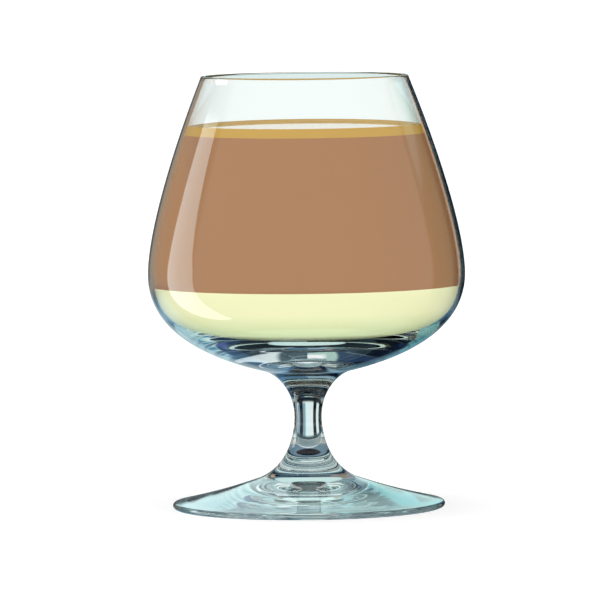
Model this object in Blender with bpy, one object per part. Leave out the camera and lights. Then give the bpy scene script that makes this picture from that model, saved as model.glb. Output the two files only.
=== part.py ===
"""A green tea sour poured in three layers, in a footed snifter glass."""
import math

import bmesh
import bpy
from mathutils import Vector

MM = 0.001

# How finely the turned shapes are drawn
SEGMENTS = 60
LIP_STEPS = 6
UPPER_BOWL_STEPS = 9
LOWER_BOWL_STEPS = 12
STEM_TOP_STEPS = 7
STEM_FOOT_STEPS = 8
CONE_STEPS = 5
EDGE_STEPS = 6
HOLLOW_STEPS = 6
WELL_STEPS = 3
INNER_LOWER_STEPS = 9
INNER_UPPER_STEPS = 8
MENISCUS_STEPS = 4
MERGE_DISTANCE = 0.002 * MM
SHARP_ANGLE = 35.0            # degrees
LAYER_GAP = 0.3 * MM          # left between a layer and whatever it touches

# The glass, outside. A reach is how far a curve heads straight on from its end before it bends.
GLASS_HEIGHT = 128.0 * MM
RIM_RADIUS = 30.8 * MM
RIM_LEAN = 0.40               # how far the wall leans in at the rim, across for each step up
RIM_REACH = 20.5 * MM         # measured down
BELLY_RADIUS = 46.9 * MM
BELLY_HEIGHT = 69.3 * MM
BELLY_REACH_UP = 12.5 * MM
BELLY_REACH_DOWN = 15.9 * MM
ROOT_RADIUS = 13.0 * MM       # where the bowl's underside turns down into the stem
ROOT_HEIGHT = 40.7 * MM
ROOT_SLOPE = 0.235
ROOT_REACH_OUT = 18.3 * MM
ROOT_REACH_IN = 3.5 * MM
WAIST_RADIUS = 4.05 * MM      # the stem at its thinnest
WAIST_HEIGHT = 27.1 * MM
WAIST_REACH_UP = 7.9 * MM
WAIST_REACH_DOWN = 6.8 * MM
SKIRT_RADIUS = 15.3 * MM      # where the stem's flare becomes the foot's cone
SKIRT_HEIGHT = 8.6 * MM
SKIRT_SLOPE = 0.335
SKIRT_REACH_IN = 8.8 * MM
SKIRT_REACH_OUT = 8.0 * MM
FOOT_RADIUS = 40.3 * MM
FOOT_EDGE = 1.9 * MM          # thickness of the foot's rounded edge
FOOT_SLOPE = 0.22             # of the cone where it meets that edge
FOOT_REACH = 12.0 * MM
FOOT_RING = 3.0 * MM          # width of the flat ring that the glass stands on
DOME_HEIGHT = 4.4 * MM        # how high the foot is hollowed underneath
DOME_REACH = 16.0 * MM
HOLLOW_SLOPE = 0.19           # of the hollow where it leaves the ring
HOLLOW_REACH = 10.0 * MM      # measured across

# The glass, inside
RIM_WALL = 1.4 * MM
INNER_RIM_REACH = 20.0 * MM   # measured down
BELLY_WALL = 1.8 * MM
INNER_BELLY_REACH_UP = 12.5 * MM
INNER_BELLY_REACH_DOWN = 13.0 * MM
WELL_HEIGHT = 47.9 * MM       # lowest point of the inside, over the solid base
WELL_REACH = 9.0 * MM
WELL_RADIUS = 24.0 * MM       # the almost flat middle of the well
WELL_RISE = 0.9 * MM          # how far the well has risen at that radius
WELL_SLOPE = 0.13
WELL_REACH_IN = 6.0 * MM
WELL_REACH_OUT = 11.5 * MM

# The drink's levels
PALE_LEVEL = 66.3 * MM
BROWN_LEVEL = 110.7 * MM
DRINK_LEVEL = 113.4 * MM
MENISCUS_RISE = 0.8 * MM      # how far the surface climbs at the wall
MENISCUS_WIDTH = 2.2 * MM
MENISCUS_FALL = 0.64 * MM     # how steeply it leaves the wall: this far down
MENISCUS_STRAY = 0.55 * MM    # for this far in
MENISCUS_EASE = 1.1 * MM      # the flat reach where it meets the calm surface


def point(radius, height):
    return Vector((radius, 0.0, height))


def along(slope):
    """Unit step outwards that rises by the slope."""
    return point(1.0, slope).normalized()


def curve(start, start_handle, end_handle, end, steps):
    """Points of a cubic curve, its last point left to the next stretch."""
    points = []
    for step in range(steps):
        t = step / steps
        s = 1.0 - t
        points.append(start * s ** 3 + start_handle * 3 * s * s * t
                      + end_handle * 3 * s * t * t + end * t ** 3)
    return points


def arc(centre, radius, start_degrees, end_degrees, steps):
    """Points of a round corner, its last point left to the next stretch."""
    points = []
    for step in range(steps):
        angle = math.radians(start_degrees + (end_degrees - start_degrees) * step / steps)
        points.append(centre + point(radius * math.cos(angle), radius * math.sin(angle)))
    return points


def rim_outline():
    """The fire-polished lip, from its inner side over to its outer side."""
    half_wall = RIM_WALL / 2
    centre = point(RIM_RADIUS - half_wall, GLASS_HEIGHT - half_wall)
    return arc(centre, half_wall, 180.0, 0.0, LIP_STEPS)


def bowl_outline():
    """The bowl's outer side, from the lip down to the root of the stem."""
    lip = point(RIM_RADIUS, GLASS_HEIGHT - RIM_WALL / 2)
    belly = point(BELLY_RADIUS, BELLY_HEIGHT)
    root = point(ROOT_RADIUS, ROOT_HEIGHT)
    upper = curve(lip, lip + point(RIM_LEAN, -1.0) * RIM_REACH,
                  belly + point(0.0, BELLY_REACH_UP), belly, UPPER_BOWL_STEPS)
    lower = curve(belly, belly - point(0.0, BELLY_REACH_DOWN),
                  root + along(ROOT_SLOPE) * ROOT_REACH_OUT, root, LOWER_BOWL_STEPS)
    return upper + lower


def stem_outline():
    """The flare under the bowl, the waist, and the flare into the foot."""
    root = point(ROOT_RADIUS, ROOT_HEIGHT)
    waist = point(WAIST_RADIUS, WAIST_HEIGHT)
    skirt = point(SKIRT_RADIUS, SKIRT_HEIGHT)
    upper = curve(root, root - along(ROOT_SLOPE) * ROOT_REACH_IN,
                  waist + point(0.0, WAIST_REACH_UP), waist, STEM_TOP_STEPS)
    lower = curve(waist, waist - point(0.0, WAIST_REACH_DOWN),
                  skirt - along(-SKIRT_SLOPE) * SKIRT_REACH_IN, skirt, STEM_FOOT_STEPS)
    return upper + lower


def foot_outline():
    """The foot's cone, its rounded edge, the ring it stands on and the hollow inside that."""
    half_edge = FOOT_EDGE / 2
    skirt = point(SKIRT_RADIUS, SKIRT_HEIGHT)
    edge = point(FOOT_RADIUS - half_edge, half_edge)
    edge_top = edge + point(0.0, half_edge)
    ring = point(FOOT_RADIUS - half_edge - FOOT_RING, 0.0)
    dome = point(0.0, DOME_HEIGHT)
    cone = curve(skirt, skirt + along(-SKIRT_SLOPE) * SKIRT_REACH_OUT,
                 edge_top - along(-FOOT_SLOPE) * FOOT_REACH, edge_top, CONE_STEPS)
    rounded = arc(edge, half_edge, 90.0, -90.0, EDGE_STEPS)
    flat = [point(FOOT_RADIUS - half_edge, 0.0)]
    hollow = curve(ring, ring + point(-1.0, HOLLOW_SLOPE) * HOLLOW_REACH,
                   dome + point(DOME_REACH, 0.0), dome, HOLLOW_STEPS)
    return cone + rounded + flat + hollow + [dome]


def inside_outline():
    """The bowl's inner side, from the middle of the well up to the lip."""
    well = point(0.0, WELL_HEIGHT)
    well_edge = point(WELL_RADIUS, WELL_HEIGHT + WELL_RISE)
    belly = point(BELLY_RADIUS - BELLY_WALL, BELLY_HEIGHT)
    lip = point(RIM_RADIUS - RIM_WALL, GLASS_HEIGHT - RIM_WALL / 2)
    floor = curve(well, well + point(WELL_REACH, 0.0),
                  well_edge - along(WELL_SLOPE) * WELL_REACH_IN, well_edge, WELL_STEPS)
    lower = curve(well_edge, well_edge + along(WELL_SLOPE) * WELL_REACH_OUT,
                  belly - point(0.0, INNER_BELLY_REACH_DOWN), belly, INNER_LOWER_STEPS)
    upper = curve(belly, belly + point(0.0, INNER_BELLY_REACH_UP),
                  lip + point(RIM_LEAN, -1.0) * INNER_RIM_REACH, lip, INNER_UPPER_STEPS)
    return floor + lower + upper


def drink_outline():
    """The line that the drink fills out to, just clear of the bowl's inner side."""
    wall = inside_outline()
    outline = [wall[0] + point(0.0, LAYER_GAP)]
    for before, place, after in zip(wall, wall[1:], wall[2:]):
        run = (after - before).normalized()
        outline.append(place + point(-run.z, run.x) * LAYER_GAP)
    return outline


def layer_side(bottom, top):
    """The drink's outline between two heights, with a point at each."""
    side = []
    outline = drink_outline()
    for low, high in zip(outline, outline[1:]):
        if high.z <= bottom or low.z >= top:
            continue
        for height in (max(bottom, low.z), min(top, high.z)):
            share = (height - low.z) / (high.z - low.z)
            side.append(low.lerp(high, share))
    return side[:1] + side[1::2]


def turned(name, outline):
    """An object turned about the Z axis from an outline that starts and ends on the axis or closes."""
    mesh = bpy.data.meshes.new(name)
    shape = bmesh.new()
    verts = [shape.verts.new(place) for place in outline]
    edges = [shape.edges.new(pair) for pair in zip(verts, verts[1:])]
    bmesh.ops.spin(shape, geom=verts + edges, cent=(0, 0, 0), axis=(0, 0, 1),
                   angle=math.tau, steps=SEGMENTS, use_merge=True)
    bmesh.ops.remove_doubles(shape, verts=shape.verts, dist=MERGE_DISTANCE)
    bmesh.ops.recalc_face_normals(shape, faces=shape.faces)
    shape.to_mesh(mesh)
    shape.free()
    mesh.shade_smooth()
    mesh.set_sharp_from_angle(angle=math.radians(SHARP_ANGLE))
    piece = bpy.data.objects.new(name, mesh)
    bpy.context.scene.collection.objects.link(piece)
    return piece


def surface(name, colour, roughness, transmission=0.0):
    """A plain material; colours are linear."""
    material = bpy.data.materials.new(name)
    material.use_nodes = True
    shader = material.node_tree.nodes["Principled BSDF"]
    shader.inputs["Base Color"].default_value = (*colour, 1.0)
    shader.inputs["Roughness"].default_value = roughness
    shader.inputs["Metallic"].default_value = 0.0
    shader.inputs["Transmission Weight"].default_value = transmission
    return material


def make_glass(stand):
    """Bowl, stem and foot, pressed and blown as one piece of clear glass."""
    outline = inside_outline() + rim_outline() + bowl_outline() + stem_outline() + foot_outline()
    glass = turned("snifter_glass", outline)
    glass.data.materials.append(surface("clear glass", (0.95, 0.98, 0.98), 0.02, 1.0))
    glass.parent = stand
    return glass


def make_layer(name, outline, material, stand):
    """One layer of the drink, turned from its outline."""
    layer = turned(name, outline)
    layer.data.materials.append(material)
    layer.parent = stand
    return layer


def make_pale_layer(stand):
    """The pale yellow-green layer that fills the well."""
    side = layer_side(WELL_HEIGHT, PALE_LEVEL)
    material = surface("pale green tea", (0.90, 0.92, 0.55), 0.15)
    return make_layer("pale_layer", side + [point(0.0, PALE_LEVEL)], material, stand)


def make_brown_layer(stand):
    """The deep brown layer that fills most of the bowl."""
    bottom = PALE_LEVEL + LAYER_GAP
    outline = [point(0.0, bottom)] + layer_side(bottom, BROWN_LEVEL) + [point(0.0, BROWN_LEVEL)]
    return make_layer("brown_layer", outline, surface("brown tea", (0.44, 0.24, 0.13), 0.15), stand)


def make_gold_layer(stand):
    """The thin golden layer on top, its surface drawn up a little at the wall."""
    bottom = BROWN_LEVEL + LAYER_GAP
    side = layer_side(bottom, DRINK_LEVEL + MENISCUS_RISE)
    edge = side[-1]
    calm = point(edge.x - MENISCUS_WIDTH, DRINK_LEVEL)
    climb = curve(edge, edge - point(MENISCUS_STRAY, MENISCUS_FALL),
                  calm + point(MENISCUS_EASE, 0.0), calm, MENISCUS_STEPS)
    outline = [point(0.0, bottom)] + side + climb[1:] + [calm, point(0.0, DRINK_LEVEL)]
    return make_layer("gold_layer", outline, surface("golden top", (0.62, 0.40, 0.12), 0.15), stand)


def main():
    for old in list(bpy.data.objects):
        bpy.data.objects.remove(old)
    stand = bpy.data.objects.new("drink_and_glass", None)
    bpy.context.scene.collection.objects.link(stand)
    make_glass(stand)
    make_pale_layer(stand)
    make_brown_layer(stand)
    make_gold_layer(stand)


main()
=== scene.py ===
import math

import bmesh
import bpy
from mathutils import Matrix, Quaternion, Vector


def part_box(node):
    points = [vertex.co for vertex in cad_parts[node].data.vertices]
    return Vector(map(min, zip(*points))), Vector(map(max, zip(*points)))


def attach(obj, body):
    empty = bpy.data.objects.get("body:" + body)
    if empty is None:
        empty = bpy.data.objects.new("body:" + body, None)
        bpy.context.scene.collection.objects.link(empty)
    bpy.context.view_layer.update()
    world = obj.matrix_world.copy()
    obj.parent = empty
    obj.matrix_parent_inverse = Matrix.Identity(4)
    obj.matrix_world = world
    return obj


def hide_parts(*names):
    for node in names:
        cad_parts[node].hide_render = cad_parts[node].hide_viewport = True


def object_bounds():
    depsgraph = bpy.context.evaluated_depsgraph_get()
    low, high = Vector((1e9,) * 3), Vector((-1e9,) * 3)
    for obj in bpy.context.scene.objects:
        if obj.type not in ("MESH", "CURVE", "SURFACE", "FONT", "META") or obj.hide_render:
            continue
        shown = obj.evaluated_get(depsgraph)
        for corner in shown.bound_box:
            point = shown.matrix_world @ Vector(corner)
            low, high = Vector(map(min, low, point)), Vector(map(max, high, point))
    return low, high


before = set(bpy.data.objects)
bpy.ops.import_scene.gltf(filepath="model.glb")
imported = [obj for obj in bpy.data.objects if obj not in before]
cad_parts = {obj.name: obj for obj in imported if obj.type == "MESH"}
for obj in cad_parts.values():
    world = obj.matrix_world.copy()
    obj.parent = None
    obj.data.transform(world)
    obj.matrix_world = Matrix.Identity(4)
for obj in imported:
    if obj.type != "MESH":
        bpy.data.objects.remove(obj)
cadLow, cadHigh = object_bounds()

mm = 0.001               # sizes below are in millimetres, unless a note says otherwise
scene = bpy.context.scene


# Colour and node helpers

def hexColour(code, power=1.0):
    # sRGB hex to the linear values that shaders use
    def linear(channel):
        return channel / 12.92 if channel <= 0.04045 else ((channel + 0.055) / 1.055) ** 2.4
    return tuple(linear(int(code[i:i + 2], 16) / 255) * power for i in (1, 3, 5)) + (1.0,)


def addNode(tree, kind, settings=None, links=None):
    # settings are sockets by name or number, or the node's own properties
    node = tree.nodes.new(kind)
    for name, value in (settings or {}).items():
        if isinstance(name, int) or name in node.inputs:
            node.inputs[name].default_value = value
        else:
            setattr(node, name, value)
    for name, socket in (links or {}).items():
        tree.links.new(socket, node.inputs[name])
    return node


def newMaterial(name):
    material = bpy.data.materials.new(name)
    material.use_nodes = True
    tree = material.node_tree
    return material, tree, tree.nodes["Principled BSDF"]


# Outline helpers: every piece is turned about the glass's axis

def place(radius, height):
    return Vector((radius * mm, 0.0, height * mm))


def along(slope):
    # a step of 1 mm outwards that rises by the slope
    return place(1.0, slope).normalized() * mm


def curve(start, startHandle, endHandle, end, steps):
    points = []
    for step in range(steps):
        t = step / steps
        s = 1.0 - t
        points.append(start * s ** 3 + startHandle * 3 * s * s * t
                      + endHandle * 3 * s * t * t + end * t ** 3)
    return points


def arc(centre, radius, startDegrees, endDegrees, steps):
    points = []
    for step in range(steps):
        angle = math.radians(startDegrees + (endDegrees - startDegrees) * step / steps)
        points.append(centre + place(radius * math.cos(angle), radius * math.sin(angle)))
    return points


def shifted(outline, distance):
    # moves an outline that runs outwards and up: plus goes towards the drink, minus into the wall
    moved = []
    for i, here in enumerate(outline):
        before = outline[max(i - 1, 0)]
        after = outline[min(i + 1, len(outline) - 1)]
        run = (after - before).normalized()
        moved.append(here + Vector((-run.z, 0.0, run.x)) * distance * mm)
    moved[0].x = outline[0].x
    return moved


def between(outline, bottom, top):
    # the stretch of a rising outline between two heights, in metres, with a point at each
    side = []
    for low, high in zip(outline, outline[1:]):
        if high.z <= bottom or low.z >= top or high.z == low.z:
            continue
        for height in (max(bottom, low.z), min(top, high.z)):
            side.append(low.lerp(high, (height - low.z) / (high.z - low.z)))
    return side[:1] + side[1::2]


turning = {"segments": 192, "weld": 0.0008, "sharpFrom": 40}


def turnedPiece(name, outline):
    shape = bmesh.new()
    verts = [shape.verts.new(point) for point in outline]
    edges = [shape.edges.new(pair) for pair in zip(verts, verts[1:])]
    bmesh.ops.spin(shape, geom=verts + edges, cent=(0, 0, 0), axis=(0, 0, 1),
                   angle=math.tau, steps=turning["segments"], use_merge=True)
    bmesh.ops.remove_doubles(shape, verts=shape.verts, dist=turning["weld"] * mm)
    bmesh.ops.recalc_face_normals(shape, faces=shape.faces)
    mesh = bpy.data.meshes.new(name)
    shape.to_mesh(mesh)
    shape.free()
    mesh.shade_smooth()
    mesh.set_sharp_from_angle(angle=math.radians(turning["sharpFrom"]))
    piece = bpy.data.objects.new(name, mesh)
    scene.collection.objects.link(piece)
    return piece


# The glass: one piece, bowl, stem and foot

glass = {
    "rim": 30.8, "rimLean": 0.40, "rimWall": 1.4,
    "belly": 46.9, "bellyHeight": 69.3, "bellyWall": 1.8,
    "root": 13.0, "rootHeight": 40.7, "rootSlope": 0.235,
    "waist": 4.05, "waistHeight": 27.1,
    "skirt": 15.3, "skirtHeight": 8.6, "skirtSlope": 0.335,
    "foot": 40.3, "footEdge": 1.9, "footSlope": 0.22, "footRing": 3.0, "footDome": 4.4,
    "wellHeight": 47.9, "wellRadius": 24.0, "wellRise": 0.9, "wellSlope": 0.13,
    "height": (cadHigh.z - cadLow.z) / mm,
    "pull": {                 # how far the curves' handles reach
        "well": 9.0, "wellEdgeIn": 6.0, "wellEdgeOut": 11.5,
        "innerBellyDown": 13.0, "innerBellyUp": 12.5, "innerLip": 20.0,
        "lip": 20.5, "bellyUp": 12.5, "bellyDown": 15.9, "rootUp": 18.3, "rootDown": 3.5,
        "waistUp": 7.9, "waistDown": 6.8, "skirtUp": 8.8, "skirtDown": 8.0, "footTop": 12.0,
        "ringIn": 10.0, "ringUp": 1.9, "dome": 16.0,
    },
    "fineness": 4,            # points here for each one of the CAD outline
    "tint": "#FAFEFE", "IOR": 1.52,
    "waveSpacing": 14.0, "waveHeight": 0.05, "waveStrength": 0.25,
}


def glassInside():
    g, n, pull = glass, glass["fineness"], glass["pull"]
    well = place(0.0, g["wellHeight"])
    edge = place(g["wellRadius"], g["wellHeight"] + g["wellRise"])
    belly = place(g["belly"] - g["bellyWall"], g["bellyHeight"])
    lip = place(g["rim"] - g["rimWall"], g["height"] - g["rimWall"] / 2)
    floor = curve(well, well + place(pull["well"], 0.0),
                  edge - along(g["wellSlope"]) * pull["wellEdgeIn"], edge, 3 * n)
    lower = curve(edge, edge + along(g["wellSlope"]) * pull["wellEdgeOut"],
                  belly - place(0.0, pull["innerBellyDown"]), belly, 9 * n)
    upper = curve(belly, belly + place(0.0, pull["innerBellyUp"]),
                  lip + place(g["rimLean"] * pull["innerLip"], -pull["innerLip"]), lip, 8 * n)
    return floor + lower + upper


def glassOutside():
    g, n, pull = glass, glass["fineness"], glass["pull"]
    halfWall, halfEdge = g["rimWall"] / 2, g["footEdge"] / 2
    lip = place(g["rim"], g["height"] - halfWall)
    belly = place(g["belly"], g["bellyHeight"])
    root = place(g["root"], g["rootHeight"])
    waist = place(g["waist"], g["waistHeight"])
    skirt = place(g["skirt"], g["skirtHeight"])
    edge = place(g["foot"] - halfEdge, halfEdge)
    edgeTop = edge + place(0.0, halfEdge)
    ring = place(g["foot"] - halfEdge - g["footRing"], 0.0)
    dome = place(0.0, g["footDome"])
    rim = arc(place(g["rim"] - halfWall, g["height"] - halfWall), halfWall, 180.0, 0.0, 3 * n)
    wall = curve(lip, lip + place(g["rimLean"] * pull["lip"], -pull["lip"]),
                 belly + place(0.0, pull["bellyUp"]), belly, 9 * n)
    under = curve(belly, belly - place(0.0, pull["bellyDown"]),
                  root + along(g["rootSlope"]) * pull["rootUp"], root, 12 * n)
    flare = curve(root, root - along(g["rootSlope"]) * pull["rootDown"],
                  waist + place(0.0, pull["waistUp"]), waist, 7 * n)
    spread = curve(waist, waist - place(0.0, pull["waistDown"]),
                   skirt - along(-g["skirtSlope"]) * pull["skirtUp"], skirt, 8 * n)
    cone = curve(skirt, skirt + along(-g["skirtSlope"]) * pull["skirtDown"],
                 edgeTop - along(-g["footSlope"]) * pull["footTop"], edgeTop, 5 * n)
    rounded = arc(edge, halfEdge, 90.0, -90.0, 3 * n)
    flat = [place(g["foot"] - halfEdge, 0.0)]
    hollow = curve(ring, ring + place(-pull["ringIn"], pull["ringUp"]),
                   dome + place(pull["dome"], 0.0), dome, 6 * n)
    return rim + wall + under + flare + spread + cone + rounded + flat + hollow + [dome]


def clearGlassMaterial():
    # soda-lime glass, blown bowl and pressed foot, fire-polished: clear and sharp in its reflections
    g = glass
    material, tree, shader = newMaterial("sodaLimeGlass")
    shader.inputs["Base Color"].default_value = hexColour(g["tint"])
    shader.inputs["Roughness"].default_value = 0.0
    shader.inputs["IOR"].default_value = g["IOR"]
    shader.inputs["Transmission Weight"].default_value = 1.0
    # faint waves left by blowing
    coords = addNode(tree, "ShaderNodeTexCoord")
    waves = addNode(tree, "ShaderNodeTexNoise", {"Scale": 1 / (g["waveSpacing"] * mm), "Detail": 1.0},
                    {"Vector": coords.outputs["Object"]})
    bump = addNode(tree, "ShaderNodeBump",
                   {"Strength": g["waveStrength"], "Distance": g["waveHeight"] * mm},
                   {"Height": waves.outputs["Fac"]})
    tree.links.new(bump.outputs["Normal"], shader.inputs["Normal"])
    return material


def makeGlass():
    piece = turnedPiece("snifterGlass", glassInside() + glassOutside())
    piece.data.materials.append(clearGlassMaterial())
    # lamp light reaches the drink straight through the glass
    piece.visible_shadow = False
    piece.visible_diffuse = False
    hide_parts("snifter_glass")
    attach(piece, "root")
    return piece


# The drink: three poured layers

drink = {
    "intoWall": 0.3,          # how far a layer reaches into the glass, so that no gap shows
    "wallIOR": 0.655,         # about one over the glass's IOR: the wall mirrors as if air lay behind it
    "IOR": 1.34,
    "cloudSpacing": 22.0,
    "roughness": 0.6, "freeRoughness": 0.04,
}
levels = {                    # in metres, from the solids
    "pale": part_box("pale_layer")[1].z,
    "brown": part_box("brown_layer")[1].z,
    "gold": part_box("gold_layer")[1].z,
}


def drinkSide(bottom, top):
    return between(shifted(glassInside(), -drink["intoWall"]), bottom, top)


def liquidMaterial(name, layer, sheen=0.0):
    # cloudy tea drink, poured: matt, with a mirror-smooth free surface. Where it lies against the
    # glass, the wall mirrors what comes at a slant, so that the glass's edges and its thick base stay
    # clear
    material, tree, shader = newMaterial(name)
    coords = addNode(tree, "ShaderNodeTexCoord")
    clouds = addNode(tree, "ShaderNodeTexNoise",
                     {"Scale": 1 / (drink["cloudSpacing"] * mm), "Detail": 3.0, "Roughness": 0.55},
                     {"Vector": coords.outputs["Object"]})
    blend = addNode(tree, "ShaderNodeMix",
                    {"data_type": "RGBA", 6: hexColour(layer["colour"]), 7: hexColour(layer["deep"])},
                    {0: clouds.outputs["Fac"]})
    tree.links.new(blend.outputs[2], shader.inputs["Base Color"])
    shader.inputs["IOR"].default_value = drink["IOR"]
    shader.inputs["Roughness"].default_value = drink["freeRoughness" if sheen else "roughness"]
    shader.inputs["Specular IOR Level"].default_value = sheen
    if not sheen:
        wall = addNode(tree, "ShaderNodeBsdfGlossy", {"Roughness": 0.0, "Color": hexColour("#FFFFFF")})
        slant = addNode(tree, "ShaderNodeFresnel", {"IOR": drink["wallIOR"]})
        mix = addNode(tree, "ShaderNodeMixShader",
                      links={0: slant.outputs[0], 1: shader.outputs[0], 2: wall.outputs[0]})
        tree.links.new(mix.outputs[0], tree.nodes["Material Output"].inputs["Surface"])
    return material


paleLayer = {
    "colour": "#F3F2C2", "deep": "#F0F0BE",
    # rings of painted shade round the well's lowest point: where each painted shade starts, where it is
    # full, and its colour
    "paintedShades": [(45.0, 40.5, "#D8E4B0"), (39.0, 36.7, "#10181C")],
}


def paintShadeUnderside(material):
    # painted shade: towards the stem the drink's underside is painted darker, and right over it is
    # painted near-black, standing in for the dark of the thick glass
    tree = material.node_tree
    shader = tree.nodes["Principled BSDF"]
    colour = shader.inputs["Base Color"].links[0].from_socket
    coords = addNode(tree, "ShaderNodeTexCoord")
    centre = (0.0, 0.0, glass["wellHeight"] * mm)
    apart = addNode(tree, "ShaderNodeVectorMath", {"operation": "DISTANCE", 1: centre},
                    {0: coords.outputs["Object"]})
    for start, full, code in paleLayer["paintedShades"]:
        shade = addNode(tree, "ShaderNodeMapRange", {"From Min": start * mm, "From Max": full * mm},
                        {"Value": apart.outputs["Value"]})
        blend = addNode(tree, "ShaderNodeMix", {"data_type": "RGBA", 7: hexColour(code)},
                        {0: shade.outputs["Result"], 6: colour})
        colour = blend.outputs[2]
    tree.links.new(colour, shader.inputs["Base Color"])


def makePaleLayer():
    top = levels["pale"]
    piece = turnedPiece("paleLayer", drinkSide(0.0, top) + [Vector((0.0, 0.0, top))])
    piece.data.materials.append(liquidMaterial("paleGreenTea", paleLayer))
    # paints shade into the pale layer's underside colour, darkest over the stem
    paintShadeUnderside(piece.active_material)
    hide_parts("pale_layer")
    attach(piece, "root")
    return piece


brownLayer = {"colour": "#A87B57", "deep": "#A67954"}


def makeBrownLayer():
    bottom, top = levels["pale"], levels["brown"]
    outline = [Vector((0.0, 0.0, bottom))] + drinkSide(bottom, top) + [Vector((0.0, 0.0, top))]
    piece = turnedPiece("brownLayer", outline)
    piece.data.materials.append(liquidMaterial("brownTea", brownLayer))
    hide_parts("brown_layer")
    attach(piece, "root")
    return piece


goldLayer = {
    "colour": "#C7A052", "deep": "#C49C4E", "sheen": 0.5,
    "rise": 0.8, "riseWidth": 2.2,     # how far the surface climbs at the wall, and over what width
    "steepPull": (0.25, 0.8),          # the climb's handles, as shares of its width and rise
    "calmPull": 0.5,
    "riseSteps": 12,
}


def makeGoldLayer():
    d = goldLayer
    bottom, rim = levels["brown"], levels["gold"]
    top = rim - d["rise"] * mm
    side = drinkSide(bottom, rim)
    edge = side[-1]
    calm = Vector((edge.x - (d["riseWidth"] + drink["intoWall"]) * mm, 0.0, top))
    across, down = d["steepPull"]
    climb = curve(edge, edge - place(across * d["riseWidth"], down * d["rise"]),
                  calm + place(d["calmPull"] * d["riseWidth"], 0.0), calm, d["riseSteps"])
    outline = [Vector((0.0, 0.0, bottom))] + side + climb[1:] + [calm, Vector((0.0, 0.0, top))]
    piece = turnedPiece("goldLayer", outline)
    piece.data.materials.append(liquidMaterial("goldenTop", d))
    piece.data.materials.append(liquidMaterial("goldenTopFree", d, d["sheen"]))
    for face in piece.data.polygons:
        # the free surface faces up and, where it climbs, in. The wall faces up as well, but out
        facesUp = face.normal.z > 0.2
        facesOut = face.center.xy.dot(face.normal.xy) > 1 * mm
        face.material_index = int(facesUp and not facesOut)
    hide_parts("gold_layer")
    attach(piece, "root")
    return piece


# The studio: pale floor, soft light, camera

floorBoard = {"colour": "#FDFDFD", "glow": 0.15, "size": 40.0}     # size in metres


def makeFloor():
    mesh = bpy.data.meshes.new("floor")
    half = floorBoard["size"] / 2
    corners = [(-half, -half, 0), (half, -half, 0), (half, half, 0), (-half, half, 0)]
    mesh.from_pydata(corners, [], [(0, 1, 2, 3)])
    floor = bpy.data.objects.new("floor", mesh)
    scene.collection.objects.link(floor)
    # matt painted board, which glows a little so that it stays as white as the wall behind
    material, tree, shader = newMaterial("paleFloor")
    shader.inputs["Base Color"].default_value = hexColour(floorBoard["colour"])
    shader.inputs["Roughness"].default_value = 1.0
    shader.inputs["Specular IOR Level"].default_value = 0.0
    shader.inputs["Emission Color"].default_value = hexColour("#FFFFFF")
    shader.inputs["Emission Strength"].default_value = floorBoard["glow"]
    mesh.materials.append(material)
    floor.visible_glossy = False
    floor.visible_transmission = False


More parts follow.
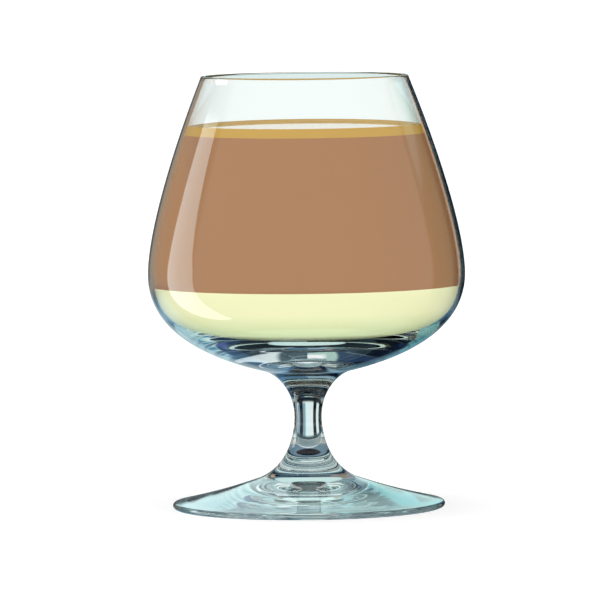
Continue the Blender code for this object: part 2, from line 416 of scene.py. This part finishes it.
# The world has a look for each way that it is seen: what stands behind the drink, what lights it and
# the floor, what mirrors on the glass, and what shows through the glass. The last has five looks:
# through both walls of the bowl, through solid glass, and after a few, more or most mirrorings
# inside it. Each look is a plain colour with patches: colour, power, from and to degrees round (0
# towards the camera, minus to the left), from and to degrees up, how soft the edges are across and
# up, and whether the patch stands on both sides, where its degrees round are given plus.
studio = {
    "behind": ("#FFFFFF", 1.0, []),
    "lighting": ("#FFFFFF", 1.16, [
        ("#FFFFFF", 0.30, (95, 165), (-60, 60), (25, 20), False),
    ]),
    "mirrored": ("#141C22", 1.0, [
        ("#FFEEE4", 0.5, (-92, 107), (-18, 90), (3, 10), False),
        ("#4C6454", 1.0, (107, 136), (-14, 60), (3, 4), False),
        ("#D0AC8C", 1.0, (148, 153), (-6, 12), (1, 3), False),
        ("#A08C78", 1.0, (-164, -92), (-8, 16), (2, 3), False),
        ("#585E60", 1.0, (-180, -164), (-14, 8), (2, 3), False),
        ("#74A8D0", 1.0, (-180, -130), (-60, -12), (4, 4), False),
        ("#C4DCE8", 1.0, (-180, -164), (-24, -6), (2, 3), False),
        ("#E8FFFF", 1.3, (-180, -166), (10, 42), (3, 3), False),
        ("#101C40", 1.0, (160, 180), (-60, -26), (4, 4), False),
        ("#6890A4", 1.0, (168, 180), (-26, -8), (3, 3), False),
        ("#4878A0", 1.0, (163, 172), (4, 28), (2, 3), False),
        ("#D8FFFC", 1.3, (172, 180), (4, 42), (2, 3), False),
    ]),
    "through": ("#FCFFFF", 1.12, [
        ("#E8FCFC", 1.0, (158, 174), (-12, 7), (2, 2), False),
        ("#84A0A0", 1.0, (120, 180), (8, 40), (3, 2), True),
        ("#8CA0A4", 1.0, (125, 180), (-64, -32), (3, 3), True),
    ]),
    "solid": ("#E4F4F4", 1.0, [
        ("#7CA8B8", 1.0, (166, 173), (-30, 14), (1, 2), False),
        ("#10202C", 1.0, (153, 166), (-40, 90), (2, 2), False),
        ("#7C9CB0", 1.0, (144, 153), (-40, 14), (1, 2), False),
        ("#0C1418", 1.0, (-165, -154), (-40, 90), (1, 2), False),
        ("#0C1018", 1.0, (104, 142), (-90, 90), (2, 1), True),
        ("#2C4C50", 1.0, (0, 180), (-28, -22), (1, 2), True),
        ("#0C1018", 1.0, (0, 180), (16, 75), (1, 3), True),
    ]),
    "turnedFew": ("#688494", 1.0, [
        ("#8CACB8", 1.0, (-180, -100), (-28, -10), (3, 3), False),
        ("#4C7490", 1.0, (130, 180), (-26, -10), (3, 3), False),
        ("#101A28", 1.0, (100, 180), (-46, -27), (3, 3), True),
        ("#F0F4F0", 0.5, (-92, 107), (-18, 90), (3, 6), False),
        ("#4C6454", 1.0, (107, 136), (-10, 13), (3, 2), False),
        ("#D0F4F0", 1.0, (112, 141), (14, 24), (3, 2), False),
        ("#0A100A", 1.0, (136, 148), (-10, 24), (2, 4), False),
        ("#D0AC8C", 1.0, (148, 153), (-4, 9), (1, 2), False),
        ("#0C1820", 1.0, (153, 180), (-6, 8), (1, 3), False),
        ("#A08C78", 1.0, (-164, -92), (-4, 11), (2, 2), False),
        ("#585E60", 1.0, (-180, -164), (-10, 10), (2, 3), False),
        ("#D4F0EC", 1.0, (136, 180), (14, 39), (3, 2), True),
        ("#0C1420", 1.0, (136, 180), (41, 62), (3, 2), True),
        ("#0C1420", 1.0, (0, 180), (-90, -64), (3, 3), True),
    ]),
    "turnedOften": ("#8CA4A8", 1.0, [
        ("#E4F4F0", 1.0, (0, 75), (-90, 90), (3, 3), True),
        ("#E0F0F0", 1.0, (100, 180), (-70, -34), (3, 3), True),
        ("#A0B8BC", 1.0, (150, 180), (12, 60), (3, 2), True),
        ("#0C1420", 1.0, (90, 180), (-34, -10), (3, 3), True),
        ("#2C405C", 1.0, (-166, -126), (-12, 12), (2, 3), False),
        ("#4C6068", 1.0, (166, 180), (-10, 12), (2, 2), True),
        ("#BCDCD0", 1.0, (-180, -166), (-1, 12), (1, 1), False),
        ("#F4FFFF", 1.0, (126, 166), (-10, 12), (2, 2), False),
        ("#FFFFFF", 1.1, (-180, -172), (3, 9), (2, 1), False),
    ]),
    "turnedMost": ("#CCE8E6", 1.0, [
        ("#7490A0", 1.0, (100, 152), (-50, -12), (4, 4), True),
        ("#60A8B0", 1.0, (-112, -76), (-34, 20), (3, 4), False),
        ("#A4CACF", 1.0, (75, 122), (-34, 12), (3, 4), False),
        ("#0C1418", 1.0, (-180, -112), (-30, 15), (3, 3), False),
        ("#1C2C50", 1.0, (-128, -116), (-3, 9), (2, 2), False),
        ("#3A8094", 1.0, (112, 128), (-6, 3), (2, 2), False),
        ("#0C1028", 1.0, (129, 165), (-20, 15), (2, 3), False),
        ("#4C5490", 1.0, (129, 141), (3, 9), (2, 2), False),
        ("#202C34", 1.0, (0, 75), (-90, 90), (3, 3), True),
        ("#0A1014", 1.0, (0, 180), (50, 90), (3, 3), True),
    ]),
}


# What shows through the glass starts with the solid look, and each of these lies over it once the
# light has mirrored or passed through more often than the count: look, what is counted, count.
insideLooks = [
    ("turnedFew", "Glossy Depth", 0.5),
    ("turnedOften", "Glossy Depth", 3.5),
    ("turnedMost", "Glossy Depth", 6.5),
    ("through", "Transmission Depth", 2.5),
]


# The tall light on the left that draws the long streak on the bowl, in degrees round and up. It
# leans as it rises, its foot is rounded, and it stops at the height of the drink's surface.
softbox = {
    "colour": "#F0FFFF", "power": 3.4,
    "middle": -83.0, "halfWidth": 38.5, "lean": 0.2,
    "innerEdge": -91.0, "innerLean": 0.37, "innerLeanFrom": 3.0,
    "footFrom": -8.0, "footLength": 43.0, "footTurn": 9.0,
    "topSlope": 0.26, "top": 49.75,
    "edgeSoft": 0.5, "footSoft": 0.05, "topSoft": 0.85,
}


def makeWorld():
    world = bpy.data.worlds.new("studio")
    scene.world = world
    world.use_nodes = True
    tree = world.node_tree
    tree.nodes.clear()

    def maths(operation, first, second=0.0):
        node = addNode(tree, "ShaderNodeMath", {"operation": operation})
        for socket, value in zip(node.inputs, (first, second)):
            if isinstance(value, (int, float)):
                socket.default_value = value
            else:
                tree.links.new(value, socket)
        return node.outputs[0]

    coords = addNode(tree, "ShaderNodeTexCoord")
    split = addNode(tree, "ShaderNodeSeparateXYZ", links={0: coords.outputs["Generated"]})
    towards = maths("MULTIPLY", split.outputs["Y"], -1.0)
    turn = maths("DEGREES", maths("ARCTAN2", split.outputs["X"], towards))
    eitherTurn = maths("ABSOLUTE", turn)
    rise = maths("DEGREES", maths("ARCSINE", split.outputs["Z"]))
    past = 99                 # degrees, well over any soft edge

    def ramp(value, start, end):
        settings = {"interpolation_type": "SMOOTHSTEP", "From Min": start, "From Max": end}
        return addNode(tree, "ShaderNodeMapRange", settings, {"Value": value}).outputs["Result"]

    def upTo(value, limit, soft):
        return ramp(value, limit + soft, limit - soft)

    def window(value, limits, soft):
        low, high = limits
        return maths("MULTIPLY", ramp(value, low - soft, low + soft), upTo(value, high, soft))

    def lay(under, colour, mask):
        mix = addNode(tree, "ShaderNodeMix", {"data_type": "RGBA"})
        tree.links.new(mask, mix.inputs[0])
        for socket, value in ((mix.inputs[6], under), (mix.inputs[7], colour)):
            if isinstance(value, tuple):
                socket.default_value = value
            else:
                tree.links.new(value, socket)
        return mix.outputs[2]

    def look(name):
        code, power, patches = studio[name]
        colour = hexColour(code, power)
        for code, power, turns, rises, soft, bothSides in patches:
            # a patch that runs to the end of the scale has no edge there
            turns = (turns[0] - past * (turns[0] in (0, -180)), turns[1] + past * (turns[1] == 180))
            rises = (rises[0] - past * (rises[0] == -90), rises[1] + past * (rises[1] == 90))
            mask = maths("MULTIPLY", window(eitherTurn if bothSides else turn, turns, soft[0]),
                         window(rise, rises, soft[1]))
            colour = lay(colour, hexColour(code, power), mask)
        return colour

    def addSoftbox(under):
        s = softbox
        lean = maths("MULTIPLY", maths("MAXIMUM", rise, 0.0), s["lean"])
        raised = maths("MAXIMUM", maths("SUBTRACT", rise, s["innerLeanFrom"]), 0.0)
        lowered = maths("MAXIMUM", maths("SUBTRACT", s["footFrom"], rise), 0.0)
        below = maths("DIVIDE", lowered, s["footLength"])
        low = maths("MULTIPLY", below, below)
        offMiddle = maths("SUBTRACT", maths("SUBTRACT", turn, s["middle"]), lean)
        across = maths("DIVIDE", offMiddle, s["halfWidth"])
        reach = maths("ADD", maths("MULTIPLY", across, across), low)
        inner = maths("ADD", turn, maths("MULTIPLY", raised, s["innerLean"]))
        inner = maths("SUBTRACT", inner, maths("MULTIPLY", low, s["footTurn"]))
        high = maths("SUBTRACT", rise, maths("MULTIPLY", turn, s["topSlope"]))
        rounded = upTo(reach, 1.0, s["footSoft"])
        mask = maths("MULTIPLY", rounded, upTo(inner, s["innerEdge"], s["edgeSoft"]))
        mask = maths("MULTIPLY", mask, upTo(high, s["top"], s["topSoft"]))
        return lay(under, hexColour(s["colour"], s["power"]), mask)

    path = addNode(tree, "ShaderNodeLightPath")
    inside = look("solid")
    for name, counted, count in insideLooks:
        inside = lay(inside, look(name), maths("GREATER_THAN", path.outputs[counted], count))
    mirror = maths("MULTIPLY", path.outputs["Is Glossy Ray"], path.outputs["Is Reflection Ray"])
    light = lay(look("lighting"), addSoftbox(look("mirrored")), mirror)
    light = lay(light, inside, path.outputs["Is Transmission Ray"])
    light = lay(light, look("behind"), path.outputs["Is Camera Ray"])
    background = addNode(tree, "ShaderNodeBackground", links={"Color": light})
    addNode(tree, "ShaderNodeOutputWorld", links={"Surface": background.outputs[0]})


camera = {
    "distance": 1.94, "height": 0.190, "aim": 0.0615,      # in metres
    "roll": 0.62,                                          # in degrees
    "picture": 600, "axisPixel": 306.8,                    # in pixels: its width, and the glass's axis
    "mmPerPixel": 0.2958,
    "sensor": 36.0,
    "clip": (0.05, 100.0),                                 # in metres
}


def makeCamera():
    c = camera
    data = bpy.data.cameras.new("camera")
    item = bpy.data.objects.new("camera", data)
    scene.collection.objects.link(item)
    eye = Vector((0.0, -c["distance"], c["height"]))
    target = Vector((0.0, 0.0, c["aim"]))
    reach = (target - eye).length
    frameWidth = c["picture"] * c["mmPerPixel"] * mm
    data.sensor_width = c["sensor"]
    data.lens = c["sensor"] * reach / frameWidth
    data.shift_x = 0.5 - c["axisPixel"] / c["picture"]
    item.location = eye
    facing = (target - eye).to_track_quat("-Z", "Y")
    item.rotation_mode = "QUATERNION"
    item.rotation_quaternion = facing @ Quaternion((0.0, 0.0, 1.0), math.radians(-c["roll"]))
    data.clip_start, data.clip_end = c["clip"]
    scene.camera = item


scene.view_settings.view_transform = "Standard"
scene.view_settings.look = "None"
# light turns many times inside the base and foot
scene.cycles.transmission_bounces = 32
scene.cycles.glossy_bounces = 32
scene.cycles.max_bounces = 48
print("building the studio")
makeCamera()
makeFloor()
makeWorld()
print("turning the glass")
makeGlass()
print("pouring the pale layer")
makePaleLayer()
print("pouring the brown layer")
makeBrownLayer()
print("pouring the gold layer")
makeGoldLayer()

print("finishing")
